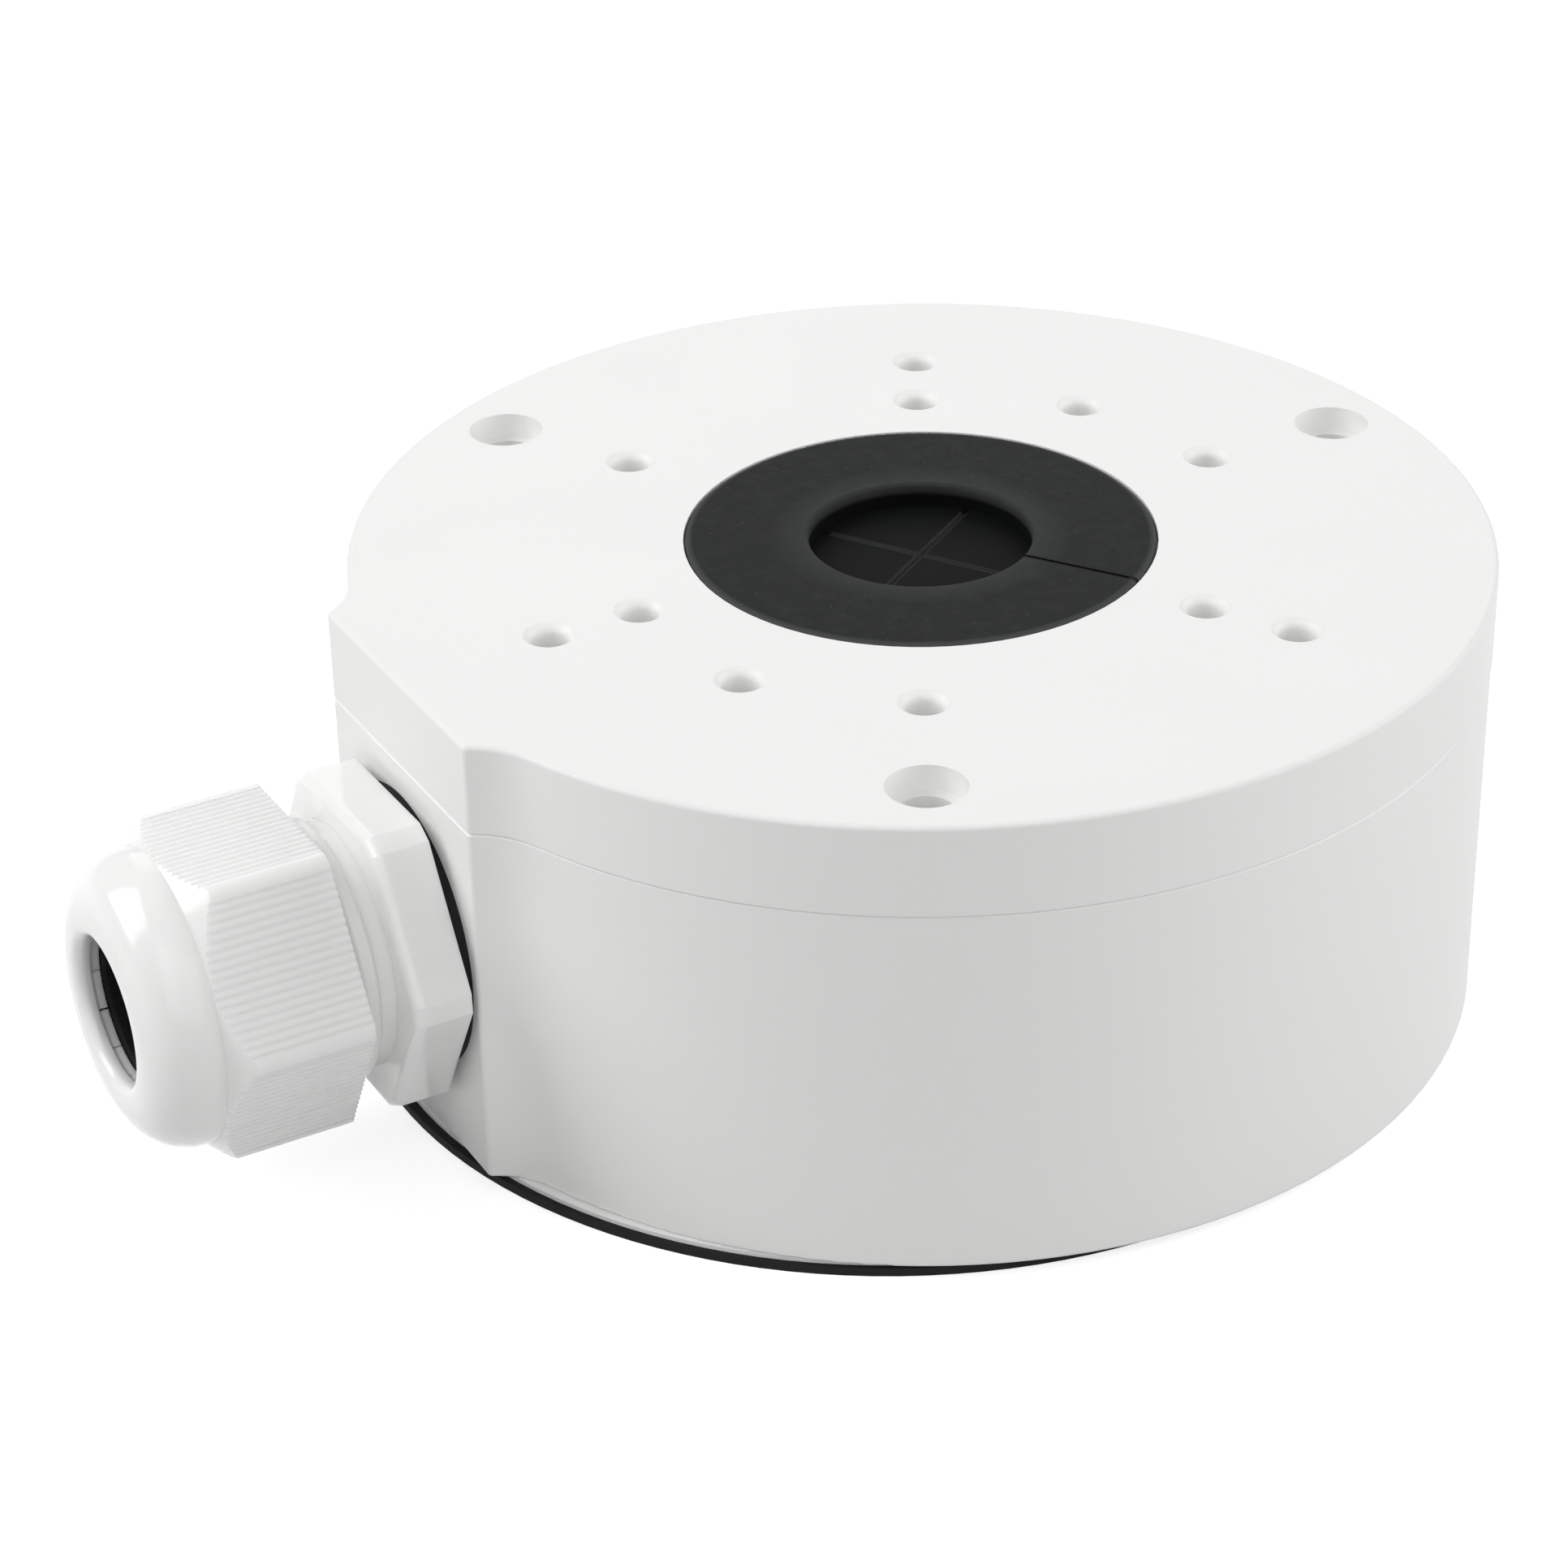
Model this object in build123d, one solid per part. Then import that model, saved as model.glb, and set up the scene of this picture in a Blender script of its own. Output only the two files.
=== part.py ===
from build123d import *
import math
import os

# Camera junction box: a round cast box with a flat for a side cable gland, a cover drilled
# for several camera feet, and a rubber grommet in the middle of the cover.
# Millimetres. Z = 0 is the wall plane under the gasket, +Z points out through the cover,
# and the cable gland points along -X.

# Wall gasket and the thin foot that carries it, both set towards the gland
gasket_thick = 0.8
gasket_inset = 1.0
gasket_shift = (-2.9, 1.0)
foot_thick = 0.4
foot_inset = 2.7
foot_shift = (-3.7, 0.0)

# Base casting
base_r = 49.7
base_height = 33.8
wall = 2.4
floor_thick = 2.4
floor_round = 2.0
flat_proud = 0.65
flat_half = 13.4
flat_blend_r = 8.0
corner_round = 0.6
base_seam_chamfer = 0.22
lower_edge_round = 0.3

# Gland seat inside the base, and the post rings
gland_seat_wall = 3.5
gland_seat_r = 14.6
post_inset = 6.2
post_r = 4.2
post_angles = (0, 120, 240)
thread_core_r = 1.65
post_thread_depth = 14.0

# Holes to the wall
wall_screw_pcd = 72.0
wall_screw_count = 4
wall_screw_first_angle = 45
wall_screw_hole_r = 2.6
rear_entry_r = 12.5

# Earth point on the floor
earth_post_inset = 10.2
earth_post_r = 4.4
earth_post_height = 6.0
earth_washer_r = 4.2
earth_washer_thick = 0.8
earth_washer_clearance = 0.2
earth_head_r = 3.8
earth_head_height = 2.4
earth_head_round = 0.9
earth_shank_length = 5.5
earth_shank_r = 1.6
earth_thread_depth = 6.0
earth_recess_length = 4.4
earth_recess_width = 1.0
earth_recess_depth = 1.2

# Cover casting
cover_height = 8.2
cover_overhang = 0.1
cover_flat_proud = 0.55
cover_edge_round = 0.45
cover_seam_chamfer = 0.1
plate_thick = 2.5
spigot_thick = 1.75
spigot_depth = 1.6
spigot_clearance = 0.25
post_clearance = 0.5
cover_screw_hole_r = 2.25
counterbore_r = 3.35
counterbore_depth = 2.2

# Camera screw circles in the cover: circle diameter and the angles of its holes
camera_circles = (
    (72.0, (60, 180, 300)),
    (55.0, (60, 180, 300)),
    (60.0, (0, 120, 240)),
    (60.0, (30, 210)),
)
camera_hole_r = 1.65
camera_mouth_r = 2.25
camera_mouth_depth = 0.9
camera_hole_depth = 4.6
camera_boss_r = 3.1
camera_boss_height = 4.0

# Seal cord in the underside of the cover
seal_inset = 1.5
seal_width = 1.4
seal_groove_width = 1.5
seal_groove_depth = 1.1
seal_round = 0.35
seal_rim_gap = 0.04

# Rubber grommet in the cover
grommet_hole_r = 16.0
grommet_recess_r = 20.65
grommet_recess_depth = 1.0
grommet_flange_r = 20.5
grommet_flange_thick = 1.1
grommet_mouth_r = 9.75
grommet_neck_clearance = 0.05
grommet_lip_r = 18.0
grommet_lip_thick = 1.5
grommet_lip_chamfer = 0.7
grommet_under_r = 12.0
grommet_edge_round = 0.45
grommet_mouth_round = 0.4
membrane_top_below_flange = 2.1
membrane_thick = 0.8
score_width = 0.4
score_depth = 0.25
score_angles = (34, 122)
slit_width = 0.25
slit_outer_r = 19.6
slit_angle = -56

# Cable gland, along its own axis
gland_height = 19.5
gland_turn = 1.3
thread_r = 10.0
wall_hole_clearance = 0.25
washer_thick = 1.1
washer_r = 12.45
washer_bore_clearance = 0.2
flange_across_flats = 26.3
flange_across_corners = 29.3
flange_thick = 5.0
flange_edge_round = 0.9
stem_length = 11.2
stem_bore_r = 7.3
locknut_across_flats = 24.0
locknut_thick = 5.0
locknut_chamfer = 0.6
locknut_bore_clearance = 0.05
shoulder_root_r = 10.8
shoulder_root_length = 1.4
shoulder_slope_length = 0.45
shoulder_r = 11.5
shoulder_length = 1.3
shoulder_groove_round = 0.35
shoulder_nut_round = 0.6
neck_r = 10.5
neck_length = 10.5
neck_pocket_r = 9.0
neck_pocket_depth = 5.6

# Clamping claw and seal inside the gland
claw_fit = 0.1
claw_bore_r = 8.0
claw_tail_length = 4.0
claw_neck_gap = 0.7
claw_collar_r = 9.9
claw_collar_length = 1.2
claw_tip_r = 8.3
claw_finger_length = 7.75
claw_hook_r = 6.6
claw_hook_length = 0.8
claw_fingers = 12
claw_slot_width = 0.15
claw_slot_root = 1.2
rubber_fit = 0.1
rubber_bore_r = 6.2
rubber_edge_round = 0.4

# Domed gland nut
nut_back_gap = 0.5
nut_across_flats = 26.0
nut_corner_r = 1.5
nut_hex_length = 10.2
nut_length = 17.95
nut_shoulder_r = 15.0
nut_shoulder_drop = 2.15
nut_shoulder_round = 1.5
dome_r = 12.8
dome_nose_r = 5.0
nut_mouth_r = 6.4
nut_lip_round = 0.9
nut_front_wall = 1.4
nut_thread_clearance = 0.1
nut_claw_clearance = 0.2
nut_back_chamfer = 0.3
rib_count = 17
rib_panel_width = 12.9
rib_depth = 0.18
rib_valley = 0.08

# Heights and stations worked out from the sizes above
base_bottom = gasket_thick + foot_thick
floor_top = base_bottom + floor_thick
floor_middle = base_bottom + floor_thick / 2
seam = base_bottom + base_height
cover_top = seam + cover_height
plate_bottom = cover_top - plate_thick
base_inner_r = base_r - wall
gasket_r = base_r - gasket_inset
foot_r = base_r - foot_inset
post_pcd = 2 * (base_r - post_inset)
earth_post_place = (0.0, earth_post_inset - base_r)
skirt_inner_r = base_inner_r - spigot_clearance - spigot_thick
seal_ring_r = base_r - seal_inset
cover_r = base_r + cover_overhang
flat_x = base_r + flat_proud
seat_station = flat_x - gland_seat_wall
flange_back = flat_x + washer_thick
flange_front = flange_back + flange_thick
stem_end = flange_back - stem_length
shoulder_start = flange_front + shoulder_root_length + shoulder_slope_length
shoulder_end = shoulder_start + shoulder_length
neck_end = flange_front + neck_length
nut_back = shoulder_end + nut_back_gap
nut_front = nut_back + nut_length
overshoot = 1.0

gland_axis = Plane(origin=(0, 0, gland_height), x_dir=(0, 0, 1), z_dir=(-1, 0, 0))
gland_frame = Location(gland_axis) * Rot(0, 0, gland_turn)


def on_circle(diameter, angle):
    """The X and Y of a point on a circle about Z."""
    turn = math.radians(angle)
    return diameter / 2 * math.cos(turn), diameter / 2 * math.sin(turn)


def disc(radius, low, high, place=(0.0, 0.0)):
    """A round bar along Z between two heights."""
    return Pos(place[0], place[1], (low + high) / 2) * Cylinder(radius, high - low)


def ring(inner, outer, low, high):
    """A flat ring about Z between two heights."""
    return disc(outer, low, high) - disc(inner, low - overshoot, high + overshoot)


def turned(corners):
    """A solid turned about Z from a closed profile of (radius, height) corners."""
    profile = Polyline(*[(radius, 0, height) for radius, height in corners], close=True)
    return revolve(make_face(profile), Axis.Z, 360)


def box_outline(radius, proud, half, blend):
    """The round outline with its flat for the gland, joined by two hollow blends."""
    flat = radius + proud
    corner_distance = math.hypot(flat, half)
    centre_distance = radius + blend
    cosine = (corner_distance**2 + centre_distance**2 - blend**2) / (2 * corner_distance * centre_distance)
    centre_angle = math.atan2(half, flat) + math.acos(cosine)
    tangent = Vector(-radius * math.cos(centre_angle), radius * math.sin(centre_angle))
    centre = Vector(-centre_distance * math.cos(centre_angle), centre_distance * math.sin(centre_angle))
    corner = Vector(-flat, half)
    middle = centre + ((tangent - centre) + (corner - centre)).normalized() * blend

    def mirrored(point):
        return Vector(point.X, -point.Y)

    edges = [
        Line(mirrored(corner), corner),
        ThreePointArc(corner, middle, tangent),
        ThreePointArc(tangent, Vector(radius, 0), mirrored(tangent)),
        ThreePointArc(mirrored(tangent), mirrored(middle), mirrored(corner)),
    ]
    return make_face(edges)


def hexagon(across_flats, low, high):
    """A hexagonal bar about Z with a flat towards +X."""
    face = RegularPolygon(across_flats / 2, 6, major_radius=False, rotation=30)
    return Pos(0, 0, low) * extrude(face, high - low)


def flat_corner_edges(solid, half):
    """The two upright edges where the flat ends."""
    return [
        edge
        for edge in solid.edges().filter_by(Axis.Z)
        if abs(abs(edge.center().Y) - half) < 0.01 and edge.center().X < 0
    ]


def edges_at_height(solid, height):
    """The edges that lie wholly in one level plane."""
    level = []
    for edge in solid.edges():
        box = edge.bounding_box()
        if abs(box.min.Z - height) < 1e-4 and abs(box.max.Z - height) < 1e-4:
            level.append(edge)
    return level


def inner_rim(solid, height):
    """The smallest circular edge at a height."""
    return min(edges_at_height(solid, height), key=lambda edge: edge.radius)


def outer_rim(solid, height):
    """The largest circular edge at a height."""
    return max(edges_at_height(solid, height), key=lambda edge: edge.radius)


def cast_block(radius, proud, low, high, upper_round, lower_cut, lower_round):
    """The outside of a casting: its outline raised, with its corners and edges eased."""
    block = Pos(0, 0, low) * extrude(box_outline(radius, proud, flat_half, flat_blend_r), high - low)
    block = fillet(flat_corner_edges(block, flat_half), corner_round)
    if upper_round > 0:
        block = fillet(edges_at_height(block, high), upper_round)
    if lower_cut > 0:
        block = chamfer(edges_at_height(block, low), lower_cut)
    if lower_round > 0:
        block = fillet(edges_at_height(block, low), lower_round)
    return block


def make_base():
    body = cast_block(base_r, flat_proud, base_bottom, seam, 0, 0, lower_edge_round)
    body = chamfer(edges_at_height(body, seam), base_seam_chamfer)
    foot = disc(foot_r, gasket_thick, base_bottom, foot_shift)
    cavity = disc(base_inner_r, floor_top, seam + overshoot)
    cavity = fillet(edges_at_height(cavity, floor_top), floor_round)
    body = body + foot - cavity

    seat_pad = disc(gland_seat_r, seat_station, base_inner_r + wall / 4)
    locknut_pocket = disc(gland_seat_r, seat_station - locknut_thick - overshoot, seat_station)
    body = body + gland_frame * seat_pad - gland_frame * locknut_pocket
    for angle in post_angles:
        place = on_circle(post_pcd, angle)
        body += disc(post_r, floor_middle, seam, place)
        body -= disc(thread_core_r, seam - post_thread_depth, seam + overshoot, place)
    earth_top = floor_top + earth_post_height
    body += disc(earth_post_r, floor_middle, earth_top, earth_post_place)
    body -= disc(thread_core_r, earth_top - earth_thread_depth, earth_top + overshoot, earth_post_place)

    body -= wall_screw_holes(0, floor_top + overshoot)
    body -= disc(rear_entry_r, 0, floor_top + overshoot)
    gland_hole = disc(thread_r + wall_hole_clearance, seat_station - overshoot, flat_x + overshoot)
    return body - gland_frame * gland_hole


def wall_screw_holes(low, high):
    """The bars that cut the wall screws' holes through the gasket and the floor."""
    step = 360 / wall_screw_count
    angles = [wall_screw_first_angle + step * number for number in range(wall_screw_count)]
    return Compound([disc(wall_screw_hole_r, low, high, on_circle(wall_screw_pcd, angle)) for angle in angles])


def make_wall_gasket():
    pad = disc(gasket_r, 0, gasket_thick, gasket_shift)
    pad -= disc(rear_entry_r, -overshoot, gasket_thick + overshoot)
    return pad - wall_screw_holes(-overshoot, gasket_thick + overshoot)


def make_earth_screw():
    seat = floor_top + earth_post_height + earth_washer_thick
    top = seat + earth_head_height
    head = disc(earth_head_r, seat, top)
    head = fillet(edges_at_height(head, top), earth_head_round)
    for angle in (0, 90):
        recess = Box(earth_recess_length, earth_recess_width, 2 * earth_recess_depth)
        head -= Pos(0, 0, top) * Rot(0, 0, angle) * recess
    shank = disc(earth_shank_r, seat - earth_shank_length, seat)
    return Pos(*earth_post_place, 0) * (head + shank)


def make_earth_washer():
    low = floor_top + earth_post_height
    bore = earth_shank_r + earth_washer_clearance
    return Pos(*earth_post_place, 0) * ring(bore, earth_washer_r, low, low + earth_washer_thick)


def make_cover():
    body = cast_block(cover_r, cover_flat_proud, seam, cover_top, cover_edge_round, cover_seam_chamfer, 0)
    body -= disc(skirt_inner_r, seam - overshoot, plate_bottom)
    spigot = ring(skirt_inner_r, base_inner_r - spigot_clearance, seam - spigot_depth, seam + overshoot)
    for angle in post_angles:
        place = on_circle(post_pcd, angle)
        spigot -= disc(post_r + post_clearance, seam - spigot_depth, seam + overshoot, place)
    spigot -= gland_frame * disc(gland_seat_r + post_clearance, 0, flat_x)
    body += spigot

    plate_middle = plate_bottom + plate_thick / 2
    for angle in post_angles:
        body += disc(post_r, seam, plate_middle, on_circle(post_pcd, angle))
    for circle, angles in camera_circles:
        for angle in angles:
            body += disc(camera_boss_r, plate_bottom - camera_boss_height, plate_middle, on_circle(circle, angle))

    groove_inner = seal_ring_r - seal_groove_width / 2
    groove_outer = seal_ring_r + seal_groove_width / 2
    body -= ring(groove_inner, groove_outer, seam - overshoot, seam + seal_groove_depth)
    body -= disc(grommet_hole_r, seam, cover_top + overshoot)
    body -= disc(grommet_recess_r, cover_top - grommet_recess_depth, cover_top + overshoot)
    for angle in post_angles:
        place = on_circle(post_pcd, angle)
        body -= disc(cover_screw_hole_r, seam - overshoot, cover_top, place)
        body -= disc(counterbore_r, cover_top - counterbore_depth, cover_top + overshoot, place)
    camera_hole = camera_screw_hole()
    for circle, angles in camera_circles:
        for angle in angles:
            body -= Pos(*on_circle(circle, angle), cover_top) * camera_hole
    return body


def camera_screw_hole():
    """A blind tapping hole with a rounded mouth, its mouth at Z = 0."""
    mouth = TangentArc((camera_hole_r, 0, -camera_mouth_depth), (camera_mouth_r, 0, 0), tangent=(0, 0, 1))
    rest = Polyline(
        (camera_mouth_r, 0, 0),
        (camera_mouth_r, 0, overshoot),
        (0, 0, overshoot),
        (0, 0, -camera_hole_depth - camera_hole_r / 2),
        (camera_hole_r, 0, -camera_hole_depth),
        (camera_hole_r, 0, -camera_mouth_depth),
    )
    return revolve(make_face([mouth, *rest.edges()]), Axis.Z, 360)


def make_cover_seal():
    low = seam + seal_rim_gap
    half = seal_width / 2
    cord = ring(seal_ring_r - half, seal_ring_r + half, low, seam + seal_groove_depth)
    return fillet(edges_at_height(cord, low), seal_round)


def make_grommet():
    flange_bottom = cover_top - grommet_recess_depth
    flange_top = flange_bottom + grommet_flange_thick
    membrane_top = flange_top - membrane_top_below_flange
    membrane_bottom = membrane_top - membrane_thick
    lip_bottom = plate_bottom - grommet_lip_thick

    flange = disc(grommet_flange_r, flange_bottom, flange_top)
    flange = fillet(edges_at_height(flange, flange_top), grommet_edge_round)
    lip = disc(grommet_lip_r, lip_bottom, plate_bottom)
    lip = chamfer(edges_at_height(lip, lip_bottom), grommet_lip_chamfer)
    neck = disc(grommet_hole_r - grommet_neck_clearance, plate_bottom - overshoot, flange_bottom + overshoot)
    rubber = flange + neck + lip
    rubber -= disc(grommet_mouth_r, membrane_top, flange_top + overshoot)
    rubber = fillet(inner_rim(rubber, flange_top), grommet_mouth_round)
    rubber -= disc(grommet_under_r, lip_bottom - overshoot, membrane_bottom)

    slit_inner_r = grommet_mouth_r - overshoot
    slit = Box(slit_outer_r - slit_inner_r, slit_width, 2 * grommet_flange_thick)
    rubber -= Rot(0, 0, slit_angle) * Pos((slit_outer_r + slit_inner_r) / 2, 0, flange_top) * slit
    for angle in score_angles:
        rubber -= Rot(0, 0, angle) * Pos(0, 0, membrane_top) * score_groove()
    return rubber


def score_groove():
    """The V groove across the membrane, its mouth at Z = 0."""
    rise = score_width / 2 / score_depth * overshoot
    section = Polyline(
        (0, -score_depth), (score_width / 2 + rise, overshoot), (-score_width / 2 - rise, overshoot), close=True
    )
    return extrude(Plane.YZ * make_face(section), grommet_mouth_r, both=True)


def make_gland_body():
    shank = turned(
        [
            (stem_bore_r, stem_end),
            (thread_r, stem_end),
            (thread_r, flange_back + overshoot),
            (shoulder_root_r, flange_back + overshoot),
            (shoulder_root_r, flange_front + shoulder_root_length),
            (shoulder_r, shoulder_start),
            (shoulder_r, shoulder_end),
            (neck_r, shoulder_end),
            (neck_r, neck_end),
            (neck_pocket_r, neck_end),
            (neck_pocket_r, neck_end - neck_pocket_depth),
            (stem_bore_r, neck_end - neck_pocket_depth),
        ]
    )
    shank = fillet(outer_rim(shank, shoulder_start), shoulder_groove_round)
    shank = fillet(outer_rim(shank, shoulder_end), shoulder_nut_round)
    flange = hexagon(flange_across_flats, flange_back, flange_front)
    flange &= Rot(0, 0, 30) * hexagon(flange_across_corners, flange_back, flange_front)
    flange = fillet(edges_at_height(flange, flange_front), flange_edge_round)
    flange -= disc(stem_bore_r + overshoot, flange_back - overshoot, flange_front + overshoot)
    return gland_frame * (shank + flange)


def make_gland_washer():
    return gland_frame * ring(thread_r + washer_bore_clearance, washer_r, flat_x, flange_back)


def make_locknut():
    low = seat_station - locknut_thick
    corner_r = locknut_across_flats / math.sqrt(3)
    nut = hexagon(locknut_across_flats, low, seat_station)
    nut &= turned(
        [
            (0, low),
            (corner_r - locknut_chamfer, low),
            (corner_r, low + locknut_chamfer),
            (corner_r, seat_station),
            (0, seat_station),
        ]
    )
    return gland_frame * (nut - disc(thread_r + locknut_bore_clearance, low - overshoot, seat_station + overshoot))


def claw_stations():
    """Where the claw's tail, collar and fingers begin and end along the gland."""
    collar_start = neck_end + claw_neck_gap
    finger_start = collar_start + claw_collar_length
    return collar_start - claw_tail_length, collar_start, finger_start, finger_start + claw_finger_length


def make_gland_claw():
    tail, collar_start, finger_start, tip = claw_stations()
    tail_r = neck_pocket_r - claw_fit
    hook_start = tip - claw_hook_length
    claw = turned(
        [
            (claw_bore_r, tail),
            (tail_r, tail),
            (tail_r, collar_start),
            (claw_collar_r, collar_start),
            (claw_collar_r, finger_start),
            (claw_tip_r, tip),
            (claw_hook_r, tip),
            (claw_hook_r, hook_start),
            (claw_bore_r, hook_start),
        ]
    )
    slot_start = finger_start + claw_slot_root
    slot = Box(
        claw_collar_r + overshoot,
        claw_slot_width,
        tip - slot_start + overshoot,
        align=(Align.MIN, Align.CENTER, Align.MIN),
    )
    for number in range(claw_fingers):
        claw -= Rot(0, 0, 360 / claw_fingers * number) * Pos(0, 0, slot_start) * slot
    return gland_frame * claw


def make_gland_rubber():
    tail, _, _, tip = claw_stations()
    front = tip - claw_hook_length - rubber_fit
    sleeve = ring(rubber_bore_r, claw_bore_r - rubber_fit, tail, front)
    return gland_frame * fillet(inner_rim(sleeve, front), rubber_edge_round)


def ribbed_hexagon(low, high):
    """The nut's hexagon with rounded corners and a panel of fine ribs on each flat."""
    apothem = nut_across_flats / 2
    half_side = apothem / math.sqrt(3)
    straight_half = half_side - nut_corner_r / math.sqrt(3)
    panel_half = rib_panel_width / 2
    pitch = (rib_panel_width - rib_valley) / rib_count
    root = apothem - rib_depth
    edges = []
    for side in range(6):
        turn = math.radians(60 * side)

        def place(out, along, turn=turn):
            return (
                out * math.cos(turn) - along * math.sin(turn),
                out * math.sin(turn) + along * math.cos(turn),
            )

        edges.append(Line(place(apothem, -straight_half), place(apothem, -panel_half)))
        edges.append(Line(place(apothem, -panel_half), place(root, -panel_half)))
        for number in range(rib_count):
            start = -panel_half + pitch * number
            crest_start = start + rib_valley
            crest_end = start + pitch
            edges.append(Line(place(root, start), place(root, crest_start)))
            edges.append(
                ThreePointArc(
                    place(root, crest_start), place(apothem, (crest_start + crest_end) / 2), place(root, crest_end)
                )
            )
        edges.append(Line(place(root, panel_half - rib_valley), place(root, panel_half)))
        edges.append(Line(place(root, panel_half), place(apothem, panel_half)))
        edges.append(Line(place(apothem, panel_half), place(apothem, straight_half)))
        corner_turn = turn + math.radians(30)
        corner_out = (apothem - nut_corner_r) / math.cos(math.radians(30)) + nut_corner_r
        next_turn = turn + math.radians(60)
        edges.append(
            ThreePointArc(
                place(apothem, straight_half),
                (corner_out * math.cos(corner_turn), corner_out * math.sin(corner_turn)),
                place(apothem, -straight_half, next_turn),
            )
        )
    return Pos(0, 0, low) * extrude(make_face(edges), high - low)


def make_gland_nut():
    _, collar_start, finger_start, tip = claw_stations()
    hex_end = nut_back + nut_hex_length
    crease = hex_end + nut_shoulder_drop
    envelope = turned(
        [
            (0, nut_back),
            (nut_shoulder_r - nut_back_chamfer, nut_back),
            (nut_shoulder_r, nut_back + nut_back_chamfer),
            (nut_shoulder_r, hex_end),
            (nut_shoulder_r - nut_shoulder_drop, crease),
            (0, crease),
        ]
    )
    envelope = fillet(outer_rim(envelope, hex_end), nut_shoulder_round)
    hexed = ribbed_hexagon(nut_back, crease) & envelope

    dome = disc(dome_r, nut_back + overshoot, nut_front)
    dome = fillet(edges_at_height(dome, nut_front), dome_nose_r)
    nut = hexed + dome
    nut -= disc(nut_mouth_r, nut_back, nut_front + overshoot)
    nut = fillet(inner_rim(nut, nut_front), nut_lip_round)

    thread_bore = neck_r + nut_thread_clearance
    cone_start_r = claw_collar_r + nut_claw_clearance
    cone_end_r = claw_tip_r + nut_claw_clearance
    inner_end = nut_front - nut_front_wall
    nut -= turned(
        [
            (0, nut_back - overshoot),
            (thread_bore, nut_back - overshoot),
            (thread_bore, collar_start),
            (cone_start_r, collar_start + (thread_bore - cone_start_r)),
            (cone_start_r, finger_start),
            (cone_end_r, tip),
            (cone_end_r, inner_end),
            (0, inner_end),
        ]
    )
    return gland_frame * nut


parts = {
    "base_body": make_base,
    "wall_gasket": make_wall_gasket,
    "earth_screw": make_earth_screw,
    "earth_washer": make_earth_washer,
    "cover": make_cover,
    "cover_seal": make_cover_seal,
    "cable_grommet": make_grommet,
    "gland_body": make_gland_body,
    "gland_washer": make_gland_washer,
    "gland_locknut": make_locknut,
    "gland_claw": make_gland_claw,
    "gland_rubber": make_gland_rubber,
    "gland_nut": make_gland_nut,
}

os.makedirs("parts", exist_ok=True)
for name, make in parts.items():
    export_step(make(), "parts/" + name + ".step")
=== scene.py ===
import bpy
import math
from mathutils import Matrix, Vector


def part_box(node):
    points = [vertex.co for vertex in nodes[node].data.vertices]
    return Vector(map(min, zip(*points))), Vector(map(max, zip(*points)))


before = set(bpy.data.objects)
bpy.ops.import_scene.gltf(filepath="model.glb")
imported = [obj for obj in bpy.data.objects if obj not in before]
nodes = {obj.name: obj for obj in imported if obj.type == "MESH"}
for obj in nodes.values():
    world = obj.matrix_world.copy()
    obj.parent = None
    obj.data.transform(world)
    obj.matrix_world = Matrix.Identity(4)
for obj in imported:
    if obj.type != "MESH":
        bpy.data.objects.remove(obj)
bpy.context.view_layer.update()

MM = 0.001


# Camera: a long lens a little above the box, turned towards the gland

VIEW_AZIMUTH = 28.505
VIEW_ELEVATION = 30.213
VIEW_ROLL = -1.113
VIEW_DISTANCE = 371.013 * MM
VIEW_RIGHT = 11.859 * MM
VIEW_UP = 21.726 * MM
LENS_MM = 97.95
SENSOR_MM = 36.0

cover_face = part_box("cover")[1].z


def make_camera():
    """The photograph's camera, placed from the middle of the cover's face."""
    azimuth = math.radians(VIEW_AZIMUTH)
    elevation = math.radians(VIEW_ELEVATION)
    roll = math.radians(VIEW_ROLL)
    forward = Vector((
        math.sin(azimuth) * math.cos(elevation),
        math.cos(azimuth) * math.cos(elevation),
        -math.sin(elevation),
    ))
    level_right = Vector((math.cos(azimuth), -math.sin(azimuth), 0.0))
    level_up = level_right.cross(forward)
    right = level_right * math.cos(roll) + level_up * math.sin(roll)
    up = level_up * math.cos(roll) - level_right * math.sin(roll)
    place = Vector((0.0, 0.0, cover_face)) - right * VIEW_RIGHT - up * VIEW_UP - forward * VIEW_DISTANCE

    data = bpy.data.cameras.new("photo_camera")
    data.lens = LENS_MM
    data.sensor_width = SENSOR_MM
    data.clip_start = 0.01
    data.clip_end = 20.0
    camera = bpy.data.objects.new("photo_camera", data)
    bpy.context.scene.collection.objects.link(camera)
    axes = Matrix((right, up, -forward)).transposed().to_4x4()
    camera.matrix_world = Matrix.Translation(place) @ axes
    bpy.context.scene.camera = camera


make_camera()


# Colours and nodes

# A Mix node set to colours takes them on these two sockets and gives the mixture on this output
COLOUR_A = 6
COLOUR_B = 7
MIXED = 2


def linear(hex_colour):
    """An sRGB hex colour as linear RGBA."""
    values = []
    for start in (1, 3, 5):
        value = int(hex_colour[start:start + 2], 16) / 255
        values.append(value / 12.92 if value <= 0.04045 else ((value + 0.055) / 1.055) ** 2.4)
    return (*values, 1.0)


def add_node(tree, kind, settings=None, sockets=None, links=None):
    """A node with its settings, its socket values and the outputs that feed it."""
    node = tree.nodes.new(kind)
    for name, value in (settings or {}).items():
        setattr(node, name, value)
    for name, value in (sockets or {}).items():
        node.inputs[name].default_value = value
    for name, output in (links or {}).items():
        tree.links.new(output, node.inputs[name])
    return node


def new_material(name):
    """A material with an empty node tree."""
    material = bpy.data.materials.new(name)
    material.use_nodes = True
    material.node_tree.nodes.clear()
    return material, material.node_tree


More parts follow.
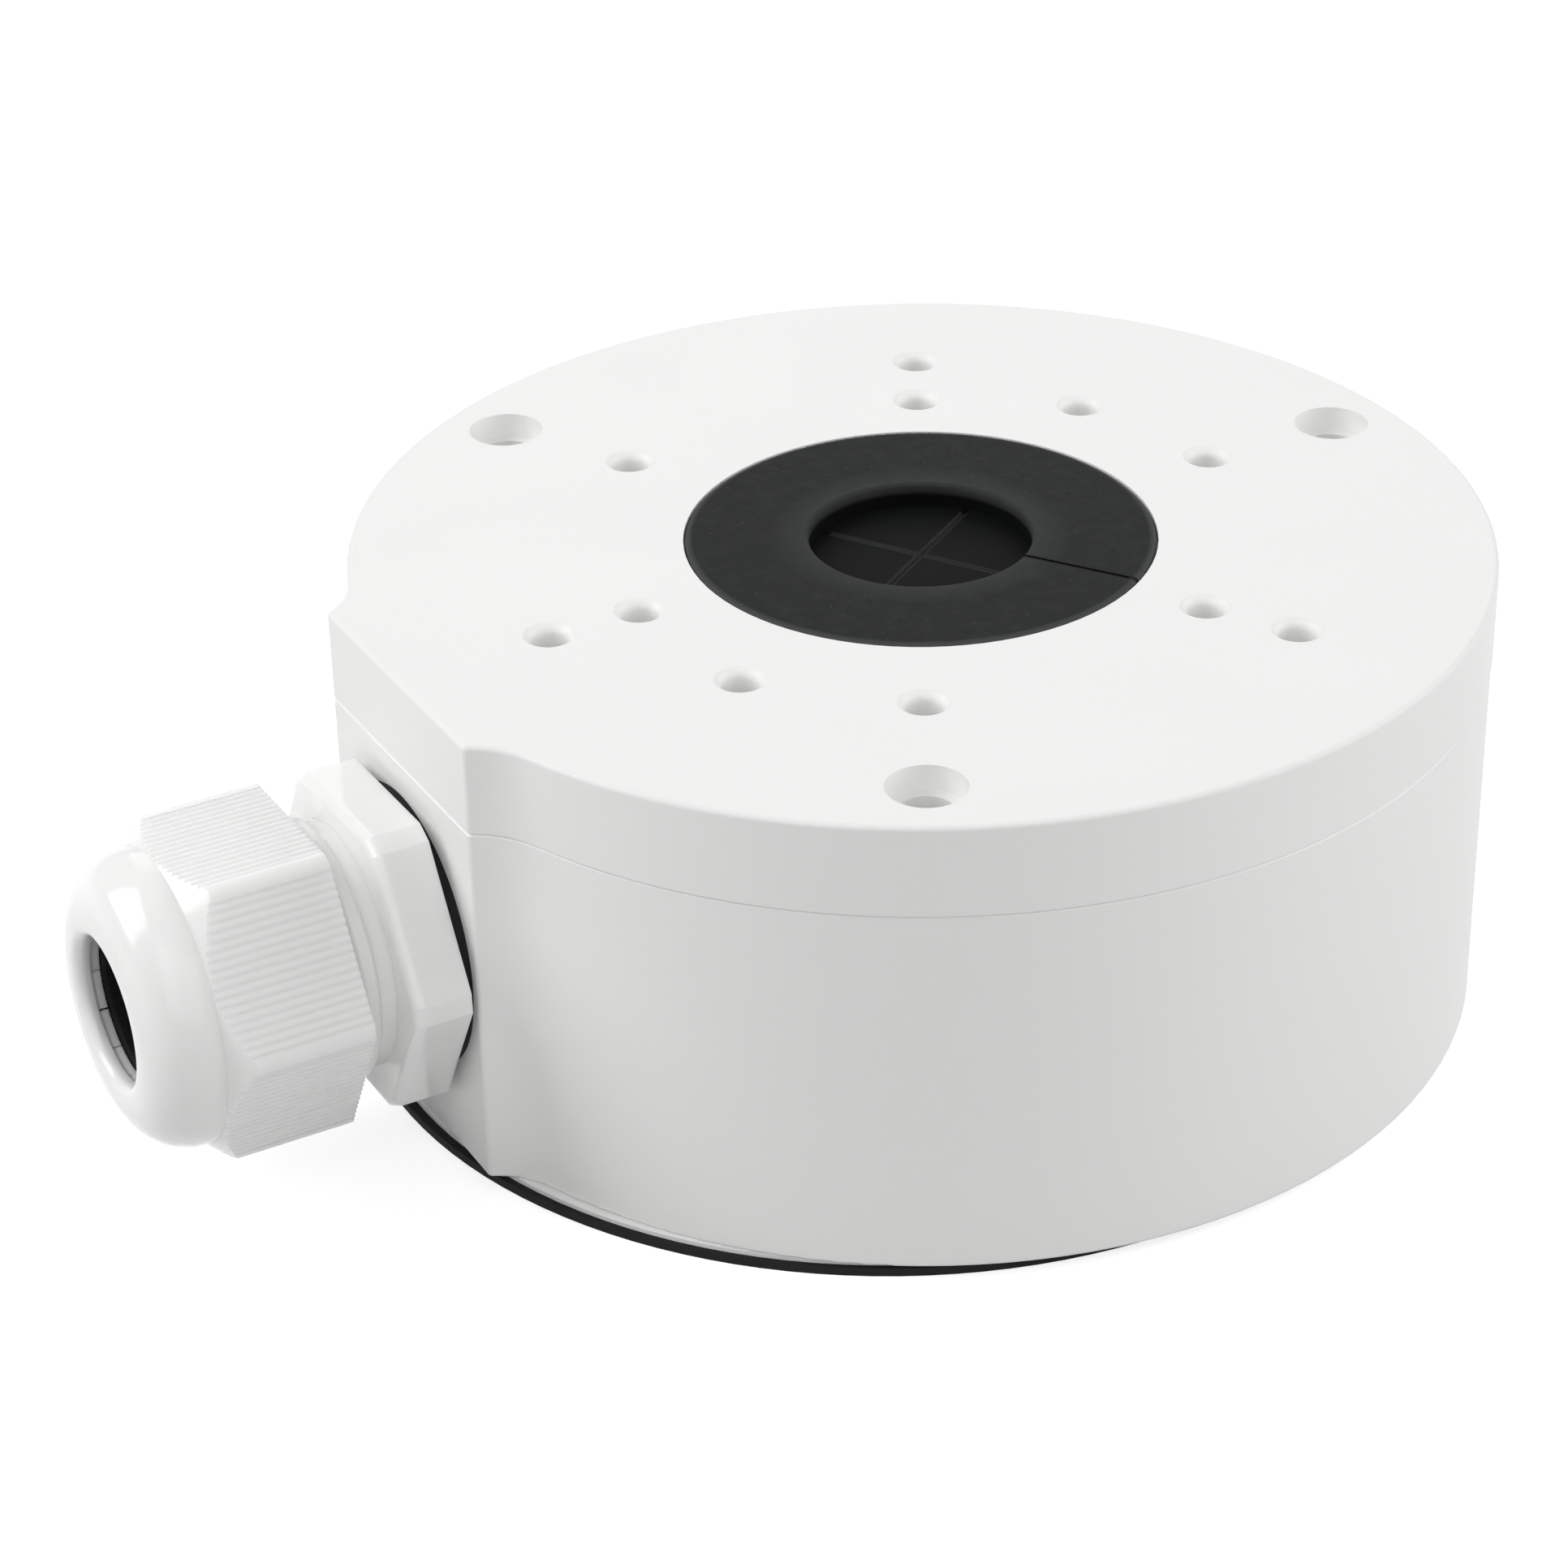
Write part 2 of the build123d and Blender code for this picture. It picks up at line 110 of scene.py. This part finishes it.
def studio_sight(tree):
    """1 where the studio's white is looked at, straight, in a reflection or through something clear."""
    path = add_node(tree, "ShaderNodeLightPath")
    mirrored = add_node(
        tree, "ShaderNodeMath",
        settings={"operation": "MAXIMUM"},
        links={0: path.outputs["Is Camera Ray"], 1: path.outputs["Is Glossy Ray"]},
    )
    return add_node(
        tree, "ShaderNodeMath",
        settings={"operation": "MAXIMUM"},
        links={0: mirrored.outputs["Value"], 1: path.outputs["Is Transmission Ray"]},
    ).outputs["Value"]


def powder_coat():
    """White powder coat on die-cast aluminium: satin, soft at the edges, with a faint orange peel."""
    material, tree = new_material("white powder coat on die-cast aluminium")
    place = add_node(tree, "ShaderNodeTexCoord").outputs["Object"]
    peel_size = 0.9 * MM
    peel_height = 0.004 * MM
    peel = add_node(
        tree, "ShaderNodeTexNoise",
        sockets={"Scale": 1 / peel_size, "Detail": 2.0, "Roughness": 0.5},
        links={"Vector": place},
    )
    bump = add_node(
        tree, "ShaderNodeBump",
        sockets={"Strength": 1.0, "Distance": peel_height},
        links={"Height": peel.outputs["Fac"]},
    )
    cure_size = 14.0 * MM
    cure = add_node(
        tree, "ShaderNodeTexNoise",
        sockets={"Scale": 1 / cure_size, "Detail": 1.0},
        links={"Vector": place},
    )
    sheen = add_node(
        tree, "ShaderNodeMapRange",
        sockets={"To Min": 0.44, "To Max": 0.54},
        links={"Value": cure.outputs["Fac"]},
    )
    shader = add_node(
        tree, "ShaderNodeBsdfPrincipled",
        sockets={
            "Base Color": linear("#F1F1F0"),
            "IOR": 1.5,
            "Specular IOR Level": 0.4,
        },
        links={"Roughness": sheen.outputs["Result"], "Normal": bump.outputs["Normal"]},
    )
    add_node(tree, "ShaderNodeOutputMaterial", links={"Surface": shader.outputs["BSDF"]})
    return material


def white_nylon():
    """Injection-moulded white nylon: glossy from the polished mould, faintly milky, a little wavy."""
    material, tree = new_material("injection-moulded white nylon")
    place = add_node(tree, "ShaderNodeTexCoord").outputs["Object"]
    sink_size = 6.0 * MM
    sink_depth = 0.006 * MM
    sink = add_node(
        tree, "ShaderNodeTexNoise",
        sockets={"Scale": 1 / sink_size, "Detail": 1.0},
        links={"Vector": place},
    )
    bump = add_node(
        tree, "ShaderNodeBump",
        sockets={"Strength": 1.0, "Distance": sink_depth},
        links={"Height": sink.outputs["Fac"]},
    )
    shader = add_node(
        tree, "ShaderNodeBsdfPrincipled",
        sockets={
            "Base Color": linear("#F3F3F2"),
            "Roughness": 0.13,
            "IOR": 1.5,
            "Specular IOR Level": 0.4,
            "Subsurface Weight": 0.85,
            "Subsurface Radius": (1.0, 1.0, 1.0),
            "Subsurface Scale": 1.4 * MM,
        },
        links={"Normal": bump.outputs["Normal"]},
    )
    add_node(tree, "ShaderNodeOutputMaterial", links={"Surface": shader.outputs["BSDF"]})
    return material


# The grommet's ring, its mouth, the slit in the ring and the two lines scored across the skin in the
# hole. The colours below paint shade into the hole and the slit and paint highlights on the rim, round
# the mouth and along the scores
RING_R = 20.5 * MM
RING_DEPTH = 1.0 * MM
MOUTH_R = 9.75 * MM
RIM_HIGHLIGHT_WIDTH = 0.7 * MM
HALO_WIDTH = 3.5 * MM
HALO_DEPTH = 0.28
SCORE_ANGLES = (34, 122)
SCORE_HALF_WIDTH = 0.45 * MM
SCORE_REACH = 9.0 * MM
SCORE_HIGHLIGHT = 0.32
SLIT_ANGLE = -56
SLIT_HALF_WIDTH = 0.36 * MM
SLIT_DEPTH = 0.9
# Painted shade for the skin down in the hole, a painted highlight grey, and painted shade inside the slit
HOLE_PAINTED_SHADE = "#0C0D0D"
PAINTED_HIGHLIGHT_GREY = "#525453"
SLIT_PAINTED_SHADE = "#050505"


def line_across(tree, from_axis, angle, half_width, depth):
    """A line through the grommet's axis at this angle, fading out at its half width."""
    across = math.radians(angle + 90)
    offset = add_node(
        tree, "ShaderNodeVectorMath",
        settings={"operation": "DOT_PRODUCT"},
        sockets={1: (math.cos(across), math.sin(across), 0.0)},
        links={0: from_axis},
    ).outputs["Value"]
    distance = add_node(
        tree, "ShaderNodeMath",
        settings={"operation": "ABSOLUTE"},
        links={0: offset},
    ).outputs["Value"]
    return add_node(
        tree, "ShaderNodeMapRange",
        sockets={"From Min": half_width, "From Max": half_width / 3, "To Max": depth},
        links={"Value": distance},
    ).outputs["Result"]


def grommet_painted_light(tree, place, moulded):
    """The grommet's colour with painted light: black in the hole as painted shade, greyer on the ring,
    pale rim, mouth ring and scores as painted highlights, and painted shade along the slit.
    """
    from_axis = add_node(
        tree, "ShaderNodeVectorMath",
        settings={"operation": "MULTIPLY"},
        sockets={1: (1.0, 1.0, 0.0)},
        links={0: place},
    ).outputs["Vector"]
    radius = add_node(
        tree, "ShaderNodeVectorMath",
        settings={"operation": "LENGTH"},
        links={0: from_axis},
    ).outputs["Value"]
    height = add_node(tree, "ShaderNodeSeparateXYZ", links={"Vector": place}).outputs["Z"]
    # on_ring is 0 down in the hole, where the skin gets painted shade, and 1 on the ring
    on_ring = add_node(
        tree, "ShaderNodeMapRange",
        sockets={"From Min": cover_face - RING_DEPTH, "From Max": cover_face - RING_DEPTH / 2},
        links={"Value": height},
    ).outputs["Result"]
    # A painted highlight along the ring's rounded outer rim
    rim_highlight = add_node(
        tree, "ShaderNodeMapRange",
        sockets={"From Min": RING_R - RIM_HIGHLIGHT_WIDTH, "From Max": RING_R},
        links={"Value": radius},
    ).outputs["Result"]
    # A painted highlight fading out from the mouth's edge
    mouth_highlight = add_node(
        tree, "ShaderNodeMapRange",
        sockets={"From Min": MOUTH_R + HALO_WIDTH, "From Max": MOUTH_R, "To Max": HALO_DEPTH},
        links={"Value": radius},
    ).outputs["Result"]
    highlit = add_node(
        tree, "ShaderNodeMath",
        settings={"operation": "MAXIMUM"},
        links={0: rim_highlight, 1: mouth_highlight},
    ).outputs["Value"]
    highlit = add_node(
        tree, "ShaderNodeMath",
        settings={"operation": "MULTIPLY"},
        links={0: highlit, 1: on_ring},
    ).outputs["Value"]
    in_hole = add_node(
        tree, "ShaderNodeMath",
        settings={"operation": "LESS_THAN"},
        sockets={1: SCORE_REACH},
        links={0: radius},
    ).outputs["Value"]
    # Painted highlights along the two scores in the hole
    for angle in SCORE_ANGLES:
        score_highlight = add_node(
            tree, "ShaderNodeMath",
            settings={"operation": "MULTIPLY"},
            links={0: line_across(tree, from_axis, angle, SCORE_HALF_WIDTH, SCORE_HIGHLIGHT), 1: in_hole},
        ).outputs["Value"]
        highlit = add_node(
            tree, "ShaderNodeMath",
            settings={"operation": "MAXIMUM"},
            links={0: highlit, 1: score_highlight},
        ).outputs["Value"]
    # Painted shade along the slit, from the mouth outwards on one side of the axis
    slit = math.radians(SLIT_ANGLE)
    out_along_slit = add_node(
        tree, "ShaderNodeVectorMath",
        settings={"operation": "DOT_PRODUCT"},
        sockets={1: (math.cos(slit), math.sin(slit), 0.0)},
        links={0: from_axis},
    ).outputs["Value"]
    slit_side = add_node(
        tree, "ShaderNodeMath",
        settings={"operation": "GREATER_THAN"},
        sockets={1: MOUTH_R},
        links={0: out_along_slit},
    ).outputs["Value"]
    slit_shade = add_node(
        tree, "ShaderNodeMath",
        settings={"operation": "MULTIPLY"},
        links={0: line_across(tree, from_axis, SLIT_ANGLE, SLIT_HALF_WIDTH, SLIT_DEPTH), 1: slit_side},
    ).outputs["Value"]
    # The hole's skin gets painted shade, then the highlights and the slit's shade are painted over
    ring = add_node(
        tree, "ShaderNodeMix",
        settings={"data_type": "RGBA"},
        sockets={COLOUR_A: linear(HOLE_PAINTED_SHADE)},
        links={0: on_ring, COLOUR_B: moulded},
    ).outputs[MIXED]
    with_highlights = add_node(
        tree, "ShaderNodeMix",
        settings={"data_type": "RGBA"},
        sockets={COLOUR_B: linear(PAINTED_HIGHLIGHT_GREY)},
        links={0: highlit, COLOUR_A: ring},
    ).outputs[MIXED]
    return add_node(
        tree, "ShaderNodeMix",
        settings={"data_type": "RGBA"},
        sockets={COLOUR_B: linear(SLIT_PAINTED_SHADE)},
        links={0: slit_shade, COLOUR_A: with_highlights},
    ).outputs[MIXED]


def black_rubber(name, colour, dust_colour, roughness, gloss, light_paint=None):
    """Moulded black rubber: dull and fine-grained, a little blotchy, with specks of pale dust."""
    material, tree = new_material(name)
    place = add_node(tree, "ShaderNodeTexCoord").outputs["Object"]
    speck_spacing = 1.1 * MM
    # A speck's radius and its core are shares of the spacing, and this share of the places has none
    speck_r = 0.13
    speck_core = 0.05
    empty_share = 0.72
    speck_depth = 0.4
    specks = add_node(
        tree, "ShaderNodeTexVoronoi",
        sockets={"Scale": 1 / speck_spacing, "Randomness": 1.0},
        links={"Vector": place},
    )
    cell = add_node(tree, "ShaderNodeSeparateColor", links={"Color": specks.outputs["Color"]})
    chosen = add_node(
        tree, "ShaderNodeMath",
        settings={"operation": "GREATER_THAN"},
        sockets={1: empty_share},
        links={0: cell.outputs["Red"]},
    )
    near = add_node(
        tree, "ShaderNodeMapRange",
        sockets={"From Min": speck_r, "From Max": speck_core, "To Max": speck_depth},
        links={"Value": specks.outputs["Distance"]},
    )
    dust = add_node(
        tree, "ShaderNodeMath",
        settings={"operation": "MULTIPLY"},
        links={0: near.outputs["Result"], 1: chosen.outputs["Value"]},
    )
    blotch_size = 1.8 * MM
    blotch_start = 0.45
    blotch_full = 0.8
    blotch_depth = 0.12
    blotches = add_node(
        tree, "ShaderNodeTexNoise",
        sockets={"Scale": 1 / blotch_size, "Detail": 4.0, "Roughness": 0.7},
        links={"Vector": place},
    )
    haze = add_node(
        tree, "ShaderNodeMapRange",
        sockets={"From Min": blotch_start, "From Max": blotch_full, "To Max": blotch_depth},
        links={"Value": blotches.outputs["Fac"]},
    )
    covered = add_node(
        tree, "ShaderNodeMath",
        settings={"operation": "MAXIMUM"},
        links={0: dust.outputs["Value"], 1: haze.outputs["Result"]},
    )
    tint = add_node(
        tree, "ShaderNodeMix",
        settings={"data_type": "RGBA"},
        sockets={COLOUR_A: linear(colour), COLOUR_B: linear(dust_colour)},
        links={0: covered.outputs["Value"]},
    )
    # The real grain is finer: this is as coarse as it needs to be to show
    grain_size = 0.35 * MM
    grain_depth = 0.01 * MM
    grain = add_node(
        tree, "ShaderNodeTexNoise",
        sockets={"Scale": 1 / grain_size, "Detail": 3.0},
        links={"Vector": place},
    )
    bump = add_node(
        tree, "ShaderNodeBump",
        sockets={"Strength": 1.0, "Distance": grain_depth},
        links={"Height": grain.outputs["Fac"]},
    )
    surface = tint.outputs[MIXED]
    # The colour function passed in, where given, paints shade and highlights into the colour
    if light_paint:
        surface = light_paint(tree, place, surface)
    shader = add_node(
        tree, "ShaderNodeBsdfPrincipled",
        sockets={"Roughness": roughness, "IOR": 1.5, "Specular IOR Level": gloss},
        links={"Base Color": surface, "Normal": bump.outputs["Normal"]},
    )
    add_node(tree, "ShaderNodeOutputMaterial", links={"Surface": shader.outputs["BSDF"]})
    return material


def zinc_steel():
    """Zinc-plated steel: bright, with a cloudy matt bloom from the plating bath."""
    material, tree = new_material("zinc-plated steel")
    place = add_node(tree, "ShaderNodeTexCoord").outputs["Object"]
    bloom_size = 0.8 * MM
    bloom = add_node(
        tree, "ShaderNodeTexNoise",
        sockets={"Scale": 1 / bloom_size, "Detail": 3.0},
        links={"Vector": place},
    )
    dullness = add_node(
        tree, "ShaderNodeMapRange",
        sockets={"To Min": 0.25, "To Max": 0.45},
        links={"Value": bloom.outputs["Fac"]},
    )
    shader = add_node(
        tree, "ShaderNodeBsdfPrincipled",
        sockets={"Base Color": linear("#C9CACC"), "Metallic": 1.0},
        links={"Roughness": dullness.outputs["Result"]},
    )
    add_node(tree, "ShaderNodeOutputMaterial", links={"Surface": shader.outputs["BSDF"]})
    return material


coat = powder_coat()
nylon = white_nylon()
# The grommet's rubber carries painted shade and painted highlights
grommet_rubber = black_rubber(
    "moulded black rubber, rubbed grey", "#252626", "#565857", 0.6, 0.03, grommet_painted_light
)
tube_rubber = black_rubber("moulded black rubber", "#1A1B1B", "#4C4E4D", 0.6, 0.05)
gasket_foam = black_rubber("black foam rubber sheet", "#191A1A", "#3A3B3A", 0.8, 0.2)
steel = zinc_steel()

finishes = {
    "base_body": coat,
    "cover": coat,
    "gland_body": nylon,
    "gland_nut": nylon,
    "gland_locknut": nylon,
    "gland_claw": nylon,
    "gland_rubber": tube_rubber,
    "gland_washer": gasket_foam,
    "cable_grommet": grommet_rubber,
    "cover_seal": tube_rubber,
    "wall_gasket": gasket_foam,
    "earth_screw": steel,
    "earth_washer": steel,
}
for name, material in finishes.items():
    for slot in nodes[name].material_slots:
        slot.material = material


# Floor, backdrop and light

PAPER_SIZE = 6000 * MM
PAPER_GLOW = 0.72
SWEEP_NEAR = 120 * MM
SWEEP_FAR = 700 * MM


def make_floor():
    """A sheet of white paper that keeps the object's soft shadow and grows to plain white far off."""
    half = PAPER_SIZE / 2
    corners = [(-half, -half, 0), (half, -half, 0), (half, half, 0), (-half, half, 0)]
    mesh = bpy.data.meshes.new("paper_floor")
    mesh.from_pydata(corners, [], [(0, 1, 2, 3)])
    floor = bpy.data.objects.new("paper_floor", mesh)
    bpy.context.scene.collection.objects.link(floor)
    material, tree = new_material("white paper")
    paper = add_node(tree, "ShaderNodeBsdfDiffuse", sockets={"Color": linear("#C4C4C4")})
    place = add_node(tree, "ShaderNodeTexCoord").outputs["Object"]
    distance = add_node(
        tree, "ShaderNodeVectorMath",
        settings={"operation": "LENGTH"},
        links={0: place},
    ).outputs["Value"]
    paper_glow = add_node(
        tree, "ShaderNodeMapRange",
        sockets={"From Min": SWEEP_NEAR, "From Max": SWEEP_FAR, "To Min": PAPER_GLOW, "To Max": 1.0},
        links={"Value": distance},
    ).outputs["Result"]
    glow = add_node(
        tree, "ShaderNodeMath",
        settings={"operation": "MULTIPLY"},
        links={0: paper_glow, 1: studio_sight(tree)},
    ).outputs["Value"]
    lit = add_node(
        tree, "ShaderNodeEmission",
        sockets={"Color": linear("#FFFFFF")},
        links={"Strength": glow},
    )
    both = add_node(
        tree, "ShaderNodeAddShader",
        links={0: paper.outputs["BSDF"], 1: lit.outputs["Emission"]},
    )
    add_node(tree, "ShaderNodeOutputMaterial", links={"Surface": both.outputs["Shader"]})
    mesh.materials.append(material)


def make_world():
    """A white studio, as it is seen and mirrored. The soft boxes alone light the object."""
    world = bpy.data.worlds.new("studio")
    world.use_nodes = True
    tree = world.node_tree
    tree.nodes.clear()
    white = add_node(
        tree, "ShaderNodeBackground",
        sockets={"Color": linear("#FFFFFF")},
        links={"Strength": studio_sight(tree)},
    )
    add_node(tree, "ShaderNodeOutputWorld", links={"Surface": white.outputs["Background"]})
    bpy.context.scene.world = world


def soft_box(name, place, width, height, power):
    """A soft box aimed at the middle of the box, its place and size in metres and its power in watts."""
    data = bpy.data.lights.new(name, "AREA")
    data.shape = "RECTANGLE"
    data.size = width
    data.size_y = height
    data.energy = power
    lamp = bpy.data.objects.new(name, data)
    bpy.context.scene.collection.objects.link(lamp)
    lamp.location = place
    box_middle = Vector((0.0, 0.0, cover_face / 2))
    lamp.rotation_euler = (box_middle - Vector(place)).to_track_quat("-Z", "Y").to_euler()


make_floor()
make_world()
soft_box("top_box", (0.0, 0.0, 0.75), 2.2, 2.2, 3.5)
soft_box("left_box", (-0.66, 0.42, 0.60), 0.6, 0.7, 6.0)
soft_box("front_box", (-0.42, -0.78, 0.6), 1.3, 1.1, 5.4)
soft_box("right_box", (0.70, -0.38, 0.4), 0.6, 0.6, 4.0)
soft_box("back_box", (0.42, 0.78, 0.5), 0.8, 0.6, 1.4)

scene = bpy.context.scene
scene.view_settings.view_transform = "Standard"
